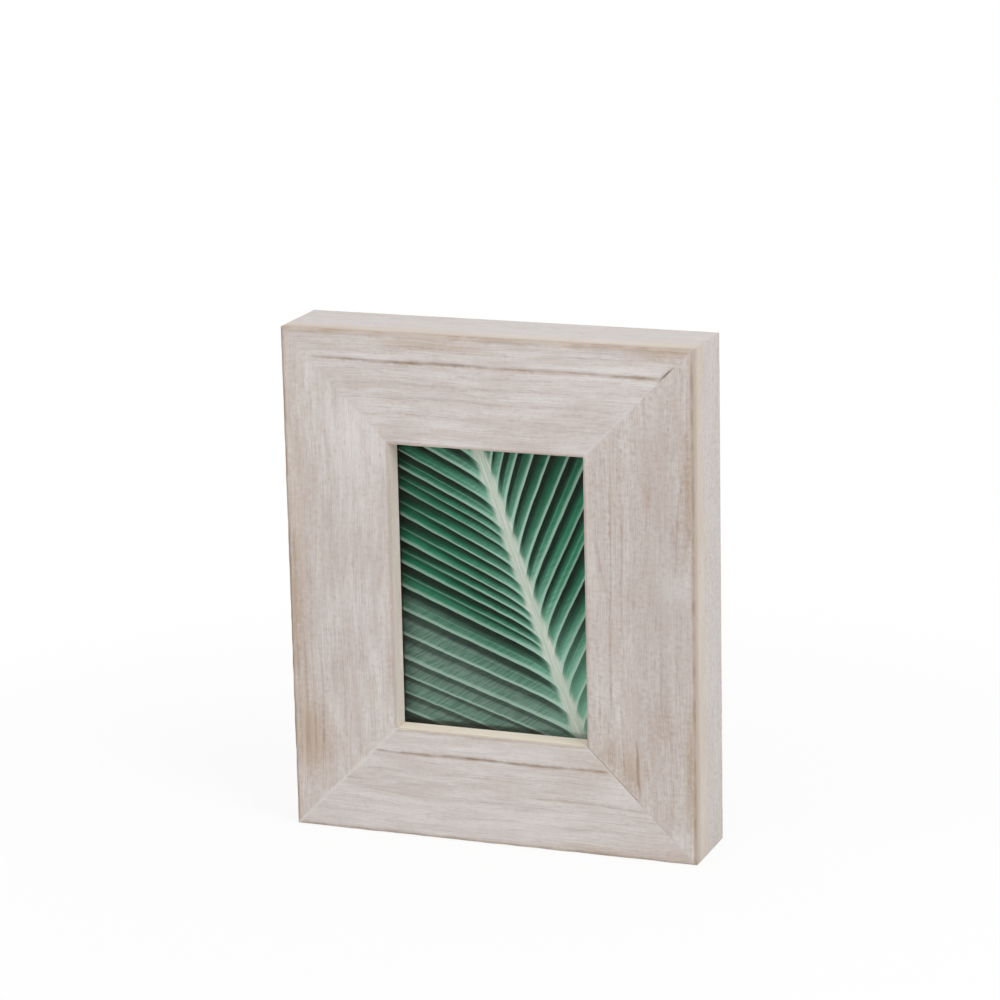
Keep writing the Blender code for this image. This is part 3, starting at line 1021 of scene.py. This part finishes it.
@dataclass(frozen=True)
class LimedWood:
    """Open-grained wood under a thin pinkish white wash, worn back by sanding at the arrises, with
    painted light and shade on its edges.
    """

    pale: Colour = srgb(194, 180, 167)
    brown: Colour = srgb(164, 145, 129)
    raw: Colour = srgb(204, 186, 162)
    bark: Colour = srgb(136, 114, 98)
    rose: Colour = srgb(201, 191, 187)
    chalk: Colour = srgb(216, 211, 208)
    frost: Colour = srgb(206, 202, 201)
    shadow: Colour = srgb(166, 152, 146)
    cream: Colour = srgb(210, 197, 182)
    # Wood bared by sanding, made paler as painted light on the sight walls
    sanded: Colour = srgb(244, 233, 217)
    amber: Colour = srgb(186, 160, 136)
    # Worn wood and painted shade along the arrises
    edge: Colour = srgb(162, 142, 126)
    hair: Streak = Streak(0.36, 14.0, (2.0, 0.55))
    fine: Streak = Streak(0.85, 34.0)
    bands: Streak = Streak(3.6, 130.0, (2.0, 0.55))
    drift: Streak = Streak(5.0, 34.0)
    pores: Streak = Streak(0.34, 5.0, (1.0, 0.55))
    dark_lines: Streak = Streak(0.62, 90.0, (2.0, 0.55))
    pale_lines: Streak = Streak(0.8, 70.0, (2.0, 0.5))
    open_pores: tuple[float, float] = (0.60, 0.72)
    lined: tuple[float, float] = (0.56, 0.68)
    round_over: tuple[float, float] = (0.6, 2.4)
    recess: tuple[float, float] = (16.0, 17.5)
    recess_depth: tuple[float, float] = (13.5, 16.0)
    back_edge: tuple[float, float] = (47.0, 50.0)
    mitre_line: tuple[float, float] = (0.35, 1.3)
    grain_depth: float = 0.00014

    def coat(self, rail: Rail) -> bpy.types.Material:
        """Mixes the finish for one rail.

        Args:
            rail: The rail, whose marks the finish follows.

        Returns:
            The material.
        """
        recipe = Recipe(f"limed_wood_{rail.side.name.lower()}")
        inset, depth, along = rail.read(recipe)
        marks = rail.marks
        across = marks.figure(inset, along)
        seed = marks.seed * 11

        def streaks(kind: Streak) -> Wire:
            """Gives noise that is drawn out along the grain."""
            wide, long = 1 / kind.wide, 1 / kind.long
            return recipe.cloud((across * wide + seed, depth * wide, along * long), *kind.fineness)

        # Streaks that run with the grain, and clouds
        hair, fine, bands = streaks(self.hair), streaks(self.fine), streaks(self.bands)
        pores = ramp(streaks(self.pores), *self.open_pores)
        dark_lines = ramp(streaks(self.dark_lines), *self.lined)
        pale_lines = ramp(streaks(self.pale_lines), *self.lined) * (1 - dark_lines)
        blotch = recipe.cloud((inset * 0.05 + seed, depth * 0.05, along * 0.018), 2.0, 0.5) - 0.5
        shaken = recipe.cloud((inset * 0.30, depth * 0.30 + seed, along * 0.42)) - 0.5
        mottle = recipe.cloud((inset * 0.30, depth * 0.30 + seed, along * 0.10))
        stray = mottle - 0.5

        # Zones of the section: front, outer face, what does not show, and the sight edge
        arris = inset + depth
        face = 1 - ramp(depth, *self.round_over)
        outside = 1 - ramp(inset, *self.round_over)
        inside = ramp(inset, *self.recess) * ramp(depth, *self.recess_depth)
        hidden = smaller(ramp(depth, *self.back_edge) + inside, 1.0)
        end = rail.moulding.face / MM
        sight = ramp(inset + stray, end - 0.9, end - 0.2)
        # Painted shade with wear: a dark line just inside the sight edge
        sight_line = bell(inset - depth + stray * 1.5, end - 1.0, 0.8) * (1 - ramp(depth, 1.0, 2.0))

        # Marks of growth and wear, and the lines along the arrises, which are worn wood with
        # painted shade
        vein = marks.grooves(inset + shaken, along) * face * (mottle + 0.5)
        bare, thick, dirt = [marks.tinted(tint, inset, along) * face for tint in Tint]
        ragged = stray * 5 + blotch * 8
        cream = (1 - ramp(depth + ragged, marks.cream_end, marks.cream_end + 7.0)) * outside
        cream = larger(cream, 1 - ramp(arris + stray * 3, 0.8, 2.2))
        rubbed = ramp(recipe.cloud((seed, inset * 0.2, along * 0.07), 2.0, 0.5), 0.40, 0.62)
        # Painted shade with wear: a dark line along the outer arris and down the outer face near
        # the front
        line = bell(arris + stray * 1.6, marks.edge_at, 1.0) * (rubbed * 0.6 + 0.4)
        line = line + (1 - ramp(depth + ragged * 0.4, 3.0, 10.0)) * outside * 0.6
        line = line * marks.edge_line

        # The wood, the wash, and how much of the wood it covers
        dark = ramp(bands + (fine - 0.5) * 0.7, 0.30, 0.74)
        wood = recipe.coats(self.pale, (dark, self.brown), (hidden * 0.6, self.raw))
        dry = ramp(streaks(self.drift) + blotch * 0.6 + thick * 0.3, 0.25, 0.85)
        cool = outside * (1 - cream) * 0.7
        wash = recipe.coats(self.rose, (dry, self.chalk), (cool, self.frost))
        cover = blotch * 0.3 + (fine - 0.5) * 0.9 + (hair - 0.5) * 1.1 + (bands - 0.5) * 0.4 + 0.76
        cover = cover + shaken * marks.uneven + marks.wash
        cover = cover - bare * 0.6 + thick * 0.3 + outside * 0.04 - hidden * 0.45 - vein * 0.6
        colour = recipe.coats(
            wood,
            (ramp(cover, 0.0, 1.0), wash),
            (pores * 0.28, self.shadow),
            (dark_lines * 0.30, self.shadow),
            (pale_lines * 0.34, self.chalk),
            (bare * 0.30, self.amber),
            (cream * 0.55, self.cream),
            # Painted light on the sight walls, over wood bared by sanding
            (sight * marks.sanded, self.sanded),
            # The arris and sight lines: worn wood with painted shade
            (smaller(line * 0.75 + sight_line * 0.5, 1.0), self.edge),
            (smaller(vein * 0.75, 1.0), self.bark),
            (dirt * 0.6, self.shadow),
            *self.mitres(rail, inset, along, face),
        )
        height = hair * 0.35 + fine * 0.5 + mottle * 0.15 - pores * 0.45 - vein * 0.4
        return recipe.finish(
            Base_Color=colour,
            Roughness=(fine - 0.5) * 0.3 + bare * -0.06 + 0.70,
            Normal=recipe.bump(height, self.grain_depth),
            Specular_IOR_Level=0.3,
        )

    def mitres(
        self, rail: Rail, inset: Wire, along: Wire, face: Wire
    ) -> Iterator[tuple[Wire, Colour]]:
        """Gives the coats of the two mitre lines and of their chips.

        Args:
            rail: The rail.
            inset: Distance from its outer face.
            along: Place along it.
            face: Shows its front.

        Yields:
            Each coat's cover and colour.
        """
        away = rail.from_mitre(inset, along)
        for seam, sign in rail.marks.seams():
            end = ramp(along * sign, 0.0, 1.0) * face
            tint = self.chalk if seam.tint is Tint.CHALK else self.shadow
            yield (1 - ramp(away, *self.mitre_line)) * end * seam.mask(inset), tint
        yield rail.chips(inset, along) * face, self.bark


@dataclass(frozen=True)
class PalmPrint:
    """A print of one palm frond, drawn by formula, in millimetres on the sheet, with the lip's
    shade painted along its edges.
    """

    foot: float = 47.7
    base: float = 65.7
    lean: float = 0.36
    bow: float = -1.2
    bow_at: float = 125.0
    bow_long: float = 50.0
    left_pitch: float = 14.0
    right_pitch: float = 11.1
    half_rib: float = 3.9
    rib_edge: float = 1.6
    hook: float = 6.0
    hook_long: float = 5.0
    # Where the lip's painted shadow starts across the sheet, and how soft its edge is
    sheet_half: float = 57.0
    sheet_edge: float = 0.5
    side_draw: float = 37.0
    second_draw: float = 500.0
    deep: Colour = srgb(20, 26, 20)
    shade: Colour = srgb(20, 66, 48)
    leaf: Colour = srgb(26, 128, 91)
    soft: Colour = srgb(132, 188, 162)
    ridge: Colour = srgb(196, 220, 206)
    stalk: Colour = srgb(226, 226, 216)
    rind: Colour = srgb(190, 204, 190)
    haze: Colour = srgb(140, 160, 150)
    # Painted shadow: the colour of the lip's shadow on the print
    margin: Colour = srgb(58, 56, 44)

    def rise(self, start: Wire, right: Wire) -> Wire:
        """Gives how steeply a leaflet climbs away from the stalk.

        Args:
            start: The height at which it leaves the stalk.
            right: Shows the side right of the stalk.

        Returns:
            The climb over the distance from the stalk.
        """
        flat = ramp(start, 30.0, 175.0) * 0.21 + 0.35
        steep = ramp(start, 140.0, 215.0) * 0.28 + (start - 95) * 0.0015 + 1.15
        return flat + right * (steep - flat)

    def count(self, start: Wire, right: Wire) -> Wire:
        """Counts the leaflets up the stalk, which stand closer in its middle on the left.

        Args:
            start: The height at which a leaflet leaves the stalk.
            right: Shows the side right of the stalk.

        Returns:
            The count, whole at each leaflet's ridge.
        """
        left = start * (1 / self.left_pitch) - bell(start, 177.0, 24.0) * 0.42
        left = left + ramp(start, 35.0, 70.0) * 0.7 - 0.32
        return left + right * (start * (1 / self.right_pitch) - 0.1 - left)

    def across(self, part: Wire, rough: Wire, wide: Wire) -> tuple[Wire, Wire, Wire]:
        """Draws one leaflet from its ridge to the dark gap below it.

        Args:
            part: The share of the leaflet's width, from 0 at the ridge to 1.
            rough: Unevenness of the lines, from -0.5 to 0.5.
            wide: How much wider the ridge is, as it is near the stalk.

        Returns:
            The light on the leaf, the ridge and the gap.
        """
        light = 1 - ramp(part + rough, 0.10, 0.80)
        crest = ramp(part, 0.0, 0.03) * (1 - ramp(part - wide - rough * 0.2, 0.07, 0.22))
        return light, crest, ramp(part + rough * 0.4, 0.63, 0.81)

    def locate(self, x: Wire, z: Wire, grain: Wire) -> tuple[Wire, Wire, Wire]:
        """Finds where the leaflet at a place leaves the stalk.

        Args:
            x: Place across the sheet.
            z: Place up the sheet.
            grain: Unevenness, from -0.5 to 0.5.

        Returns:
            The distance from the stalk, a mask of its right side and the leaflet's start.
        """
        line = self.foot - (z - self.base) * self.lean
        aside = x - line - bell(z, self.bow_at, self.bow_long) * self.bow
        right = ramp(aside, -0.01, 0.01)
        out = (x - line) * (right * 2 - 1)
        guess = z - out * self.rise(z - out * (right * 0.75 + 0.48), right)
        hook = fading(size_of(aside), self.hook_long) * self.hook
        return aside, right, z - out * self.rise(guess, right) + hook + grain * 1.2

    def material(self) -> bpy.types.Material:
        """Draws the frond.

        Returns:
            The printed paper.
        """
        recipe = Recipe("palm_print_paper")
        x, _, z = recipe.parts(recipe.mapped())
        grain = recipe.cloud((x * 0.09, 0.0, z * 0.09)) - 0.5
        aside, right, start = self.locate(x, z, grain)
        reach = size_of(aside)

        # Which leaflet, what is its own, and its fibres
        phase = self.count(start, right) + sine(start * 0.33) * 0.02 + sine(start * 0.71) * 0.02
        number = floor(phase)
        part = phase - number
        luck = recipe.chance(number + right * self.side_draw)
        fate = recipe.chance(number + right * self.side_draw + self.second_draw)
        fibre = recipe.cloud((part * 8 + number * 5, right * 3, reach * 0.03)) - 0.5
        hairs = recipe.cloud((part * 16 + number * 5, right * 3, reach * 0.09), 2.0) - 0.5
        rough = fibre * 0.3 + hairs * 0.5 + (fate - 0.5) * 0.15

        # Its light, ridge, gap and fold: on the left, pairs of half width stand in the middle
        close, base = fading(reach, 17), fading(reach, 5.5)
        whole = self.across(part, rough, base * 0.35)
        half = self.across(phase * 2 - floor(phase * 2), rough, base * 0.35)
        pair = ramp(start, 102.0, 120.0) * (1 - ramp(start, 178.0, 190.0)) * (1 - right)
        pair = pair * (1 - ramp(reach, 22.0, 66.0) * 0.85)
        lit, crest, gap = [one + (two - one) * pair for one, two in zip(whole, half)]
        lit = lit * ((luck - 0.5) * 0.4 + 0.98) + fibre * 1.1 + hairs * 0.9
        gap = gap * ramp(reach, 4.0, 8.0)
        fold = bell(part, fate * 0.22 + 0.34, 0.045) * ramp(luck, 0.25, 0.6)
        fold = fold * (close * 0.6 + 0.35) * (1 - pair)

        # Parts of the sheet: haze and hatching, darker sides and top, partly painted shade, the
        # paler foot, and the lip's painted shadow
        cross = recipe.cloud((x * 0.52 - z * 0.80, 0.0, x * 0.06 + z * 0.04), 1.0, 0.5)
        hatch = ramp(cross, 0.44, 0.60)
        corner = ramp(z * -1 - x * 0.55, -128.0, -84.0)
        low = (1 - ramp(z, 75.0, 150.0)) * right
        # Darker towards the top and the left edge, the top partly as painted shade of the lip above
        # it
        dim = ramp(z, 180.0, 226.0) * 0.36 + (1 - ramp(x, -58.0, -47.0)) * 0.40
        # Painted shadow of the lip, beside the sight edges and along the foot of the print
        shadow = self.sheet_half - self.sheet_edge, self.sheet_half + self.sheet_edge
        beside = ramp(size_of(x), *shadow) * 0.6
        below = (1 - ramp(z, 64.3, 66.6)) * (1 - ramp(x, 0.0, 45.0) * 0.6) * 0.8

        streak = recipe.cloud((aside * 1.4, 0.0, z * 0.04))
        stalk = recipe.blend(ramp(streak + hairs * 0.4, 0.36, 0.62), self.stalk, self.rind)
        rib = reach + grain * 2.0 + (part - 0.5) * 2.2 + hairs * 2.0
        colour = recipe.coats(
            self.shade,
            (ramp(lit, 0.0, 0.95), self.leaf),
            (smaller(close * 1.1 + low * 0.8, 1.0) * ramp(lit, 0.0, 0.9), self.soft),
            (fold * (1 - gap * 0.6), self.soft),
            (corner * 0.66, self.haze),
            (hatch * (corner * 0.06 + 0.30), self.shade),
            (gap * (0.95 - close * 0.15 - corner * 0.35), self.deep),
            (low * 0.48, self.soft),
            # Painted shade under the top lip, with the darker sides
            (smaller(dim, 1.0) * (1 - close), self.deep),
            (crest * (fate * 0.3 + 0.7) * (close * 0.42 + 0.58), self.ridge),
            (base * 0.8 * (1 - gap * 0.8), self.soft),
            (1 - ramp(rib, self.half_rib - self.rib_edge, self.half_rib + self.rib_edge), stalk),
            # Painted shadow of the lip
            (larger(beside, below), self.margin),
        )
        return recipe.finish(
            Base_Color=colour, Roughness=grain * 0.1 + 0.55, Specular_IOR_Level=0.08
        )


@dataclass(frozen=True)
class ClearGlass:
    """Thin float glass that shows a faint reflection."""

    index: float = 1.12
    polish: float = 0.03
    tint: Colour = (0.985, 0.995, 0.99, 1.0)

    def material(self) -> bpy.types.Material:
        """Mixes the glass.

        Returns:
            The material.
        """
        recipe = Recipe("clear_glass")
        clear = recipe.node("ShaderNodeBsdfTransparent", {}, {"Color": self.tint})
        gloss = recipe.node("ShaderNodeBsdfGlossy", {}, {"Color": WHITE, "Roughness": self.polish})
        share = recipe.node("ShaderNodeFresnel", {}, {"IOR": self.index})
        return recipe.output(recipe.node("ShaderNodeMixShader", {}, [share, clear, gloss]))


@dataclass(frozen=True)
class PressedMetal:
    """Plated sheet or wire with rolling lines, dull spots and small scratches."""

    name: str
    colour: Colour
    dull: Colour
    rough: float
    spangle: float
    scratch: float = 0.00003

    def material(self) -> bpy.types.Material:
        """Mixes the metal.

        Returns:
            The material.
        """
        recipe = Recipe(self.name)
        place = recipe.mapped()
        x, y, z = recipe.parts(place)
        rolled = recipe.cloud((x * 0.5, y * 3.0, z * 9.0))
        spots = recipe.cloud(place, scale=self.spangle)
        worn = ramp(spots + (rolled - 0.5) * 0.3, 0.42, 0.70)
        return recipe.finish(
            Base_Color=recipe.blend(worn * 0.7, self.colour, self.dull),
            Metallic=1.0,
            Roughness=worn * 0.16 + (rolled - 0.5) * 0.15 + self.rough,
            Normal=recipe.bump(rolled * 0.6 + spots * 0.4, self.scratch),
        )


@dataclass(frozen=True)
class Fibreboard:
    """Bare brown fibreboard, pressed from short fibres."""

    body: Colour = srgb(168, 136, 103)
    fibre: Colour = srgb(140, 109, 79)
    fleck: Colour = srgb(194, 168, 135)
    nap: float = 0.00012

    def material(self) -> bpy.types.Material:
        """Mixes the board.

        Returns:
            The material.
        """
        recipe = Recipe("brown_fibreboard")
        place = recipe.mapped()
        x, y, z = recipe.parts(place)
        one_way = recipe.cloud((x * 0.5, y, z * 2.2), rough=0.65)
        other_way = recipe.cloud((x * 2.2 + 40, y, z * 0.5), rough=0.65)
        cloudy = recipe.cloud(place, scale=0.03)
        colour = recipe.coats(
            self.body,
            (ramp(one_way + (cloudy - 0.5) * 0.2, 0.46, 0.66) * 0.8, self.fibre),
            (ramp(other_way, 0.56, 0.70) * 0.5, self.fleck),
            (ramp(cloudy, 0.45, 0.75) * 0.12, self.fibre),
        )
        return recipe.finish(
            Base_Color=colour,
            Roughness=(cloudy - 0.5) * 0.2 + 0.72,
            Normal=recipe.bump(one_way * 0.5 + other_way * 0.5, self.nap),
            Specular_IOR_Level=0.25,
        )


# Sub-assemblies


def dress(names: Sequence[str], material: bpy.types.Material) -> None:
    """Gives the model's own nodes a finish.

    Args:
        names: The nodes.
        material: Their finish.
    """
    for name in names:
        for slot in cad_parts[name].material_slots:
            slot.material = material
        LOG.info("%s keeps its solid and is finished in %s", name, material.name)


@dataclass
class WoodenFrame:
    """The four mitred rails, in millimetres."""

    width: float = 241.0
    height: float = 292.0
    front: float = -26.15
    moulding: Moulding = Moulding()
    relief: Relief = Relief()
    wood: LimedWood = LimedWood()
    marks: tuple[Marks, ...] = (LEFT_MARKS, TOP_MARKS, RIGHT_MARKS, BOTTOM_MARKS)

    def rail(self, side: Side, marks: Marks) -> Rail:
        """Lays out one rail.

        Args:
            side: Its place.
            marks: What growth, sanding and washing left on it.

        Returns:
            The rail.
        """
        half, outer, middle = self.height / 2, self.width / 2, self.height / 2
        if side in (Side.TOP, Side.BOTTOM):
            half, outer = outer, half
        return Rail(side, marks, self.moulding, self.relief, half, outer, self.front, middle)

    def build(self) -> None:
        """Mills the moulding once and makes the four rails from it."""
        stick = self.moulding.mill()
        for side, marks in zip(Side, self.marks):
            piece = self.rail(side, marks).build(stick, self.wood)
            LOG.info("%s has %d faces", piece.name, len(piece.data.polygons))
        bpy.data.objects.remove(stick, do_unlink=True)


@dataclass(frozen=True)
class Glazing:
    """The glass and the print behind it."""

    glass: ClearGlass = ClearGlass()
    picture: PalmPrint = PalmPrint()

    def build(self) -> None:
        """Finishes the glass and the print."""
        dress(["glass_pane"], self.glass.material())
        dress(["picture_print"], self.picture.material())


@dataclass(frozen=True)
class BackFittings:
    """The back board and what holds it, the mitres and the hangers."""

    board: Fibreboard = Fibreboard()
    nickel: PressedMetal = PressedMetal(
        "nickel_plate", srgb(201, 196, 186), srgb(178, 171, 160), rough=0.26, spangle=0.22
    )
    zinc: PressedMetal = PressedMetal(
        "zinc_plate", srgb(204, 206, 212), srgb(176, 178, 184), rough=0.28, spangle=0.9
    )

    def build(self) -> None:
        """Finishes the board, buttons, screws, nails and hangers."""
        dress(["back_board"], self.board.material())
        nodes = list(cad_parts)
        pressed = [name for name in nodes if name.startswith(("vnail_", "turn_button_"))]
        dress(pressed + ["hanger_top", "hanger_side"], self.nickel.material())
        turned = [name for name in nodes if name.startswith("button_screw_") or "_nail_" in name]
        dress(turned, self.zinc.material())


# Studio


@dataclass(frozen=True)
class Lamp:
    """A large soft panel of light."""

    name: str
    place: Place
    size: float
    power: float
    mirrored: bool = True

    def hang(self, target: Vector) -> None:
        """Hangs the lamp and points it.

        Args:
            target: What it points at.
        """
        data = bpy.data.lights.new(self.name, "AREA")
        data.shape = "SQUARE"
        data.size = self.size
        data.energy = self.power
        lamp = bpy.data.objects.new(self.name, data)
        lamp.location = self.place
        lamp.visible_glossy = self.mirrored
        lamp.rotation_euler = (target - Vector(self.place)).to_track_quat("-Z", "Y").to_euler()
        bpy.context.scene.collection.objects.link(lamp)


@dataclass(frozen=True)
class Studio:
    """A white sweep, soft lamps and the camera."""

    place: Place = (0.72556, -1.89411, 0.71819)
    azimuth: float = 20.996
    elevation: float = 14.478
    roll: float = -1.2528
    lens: float = 135.16
    sensor: float = 36.0
    sky: float = 0.52
    white: float = 0.86
    fade: tuple[float, float] = (0.2, 0.6)
    floor_size: float = 12.0
    paper: Colour = (0.9, 0.9, 0.9, 1.0)
    target: Place = (0.0, 0.0, 0.15)
    lamps: tuple[Lamp, ...] = (
        Lamp("key_lamp", (1.9, -1.0, 1.6), 1.4, 26.0),
        Lamp("top_lamp", (0.0, 0.1, 2.1), 1.6, 11.0),
        Lamp("fill_lamp", (-1.2, -2.0, 1.1), 1.6, 13.0, mirrored=False),
    )

    def camera(self) -> None:
        """Stands the camera where the photograph was taken from."""
        data = bpy.data.cameras.new("camera")
        data.sensor_width = self.sensor
        data.lens = self.lens
        camera = bpy.data.objects.new("camera", data)
        aim = Euler((math.pi / 2 - math.radians(self.elevation), 0.0, math.radians(self.azimuth)))
        turned = aim.to_matrix() @ Matrix.Rotation(math.radians(self.roll), 3, "Z")
        camera.matrix_world = Matrix.Translation(self.place) @ turned.to_4x4()
        bpy.context.scene.collection.objects.link(camera)
        bpy.context.scene.camera = camera

    @staticmethod
    def seen(recipe: Recipe) -> Wire:
        """Shows which rays see the background as it is.

        Args:
            recipe: The floor's material or the room's light.

        Returns:
            A mask of the rays that the camera, gloss and glass send.
        """
        outputs = recipe.node("ShaderNodeLightPath", {}, {}).socket.node.outputs
        camera, glossy, through = [
            Wire(recipe, outputs[f"Is {kind} Ray"]) for kind in ("Camera", "Glossy", "Transmission")
        ]
        return smaller(camera + glossy + through, 1.0)

    def sweep(self) -> None:
        """Lays the white floor, which keeps a faint shadow of the object."""
        lay_down_tools()
        bpy.ops.mesh.primitive_plane_add(size=self.floor_size, location=(0, 0, 0))
        floor_piece = bpy.context.object
        floor_piece.name = "floor"
        recipe = Recipe("white_paper")
        paper = recipe.node("ShaderNodeBsdfDiffuse", {}, {"Color": self.paper})
        glow = recipe.node("ShaderNodeEmission", {}, {"Color": WHITE, "Strength": 1.0})
        x, y, _ = recipe.parts(recipe.mapped(scale=1.0))
        away = ramp(root(x * x + y * y), *self.fade)
        share = self.seen(recipe) * (away * (1 - self.white) + self.white)
        shader = recipe.node("ShaderNodeMixShader", {}, [share, paper, glow])
        floor_piece.data.materials.append(recipe.output(shader))

    def daylight(self) -> None:
        """Lights the room evenly and shows it white."""
        recipe = Recipe("studio", room=True)
        soft, white = [
            recipe.node("ShaderNodeBackground", {}, {"Color": WHITE, "Strength": strength})
            for strength in (self.sky, 1.0)
        ]
        shader = recipe.node("ShaderNodeMixShader", {}, [self.seen(recipe), soft, white])
        bpy.context.scene.world = recipe.output(shader)

    def build(self) -> None:
        """Sets up the whole studio."""
        self.sweep()
        self.daylight()
        for lamp in self.lamps:
            lamp.hang(Vector(self.target))
        self.camera()
        bpy.context.scene.view_settings.view_transform = "Standard"


def main() -> None:
    """Builds the frame, its glazing, its back and the studio."""
    logging.basicConfig(level=logging.INFO, format="%(name)s: %(message)s")
    WoodenFrame().build()
    Glazing().build()
    BackFittings().build()
    Studio().build()


if __name__ == "__main__":
    main()
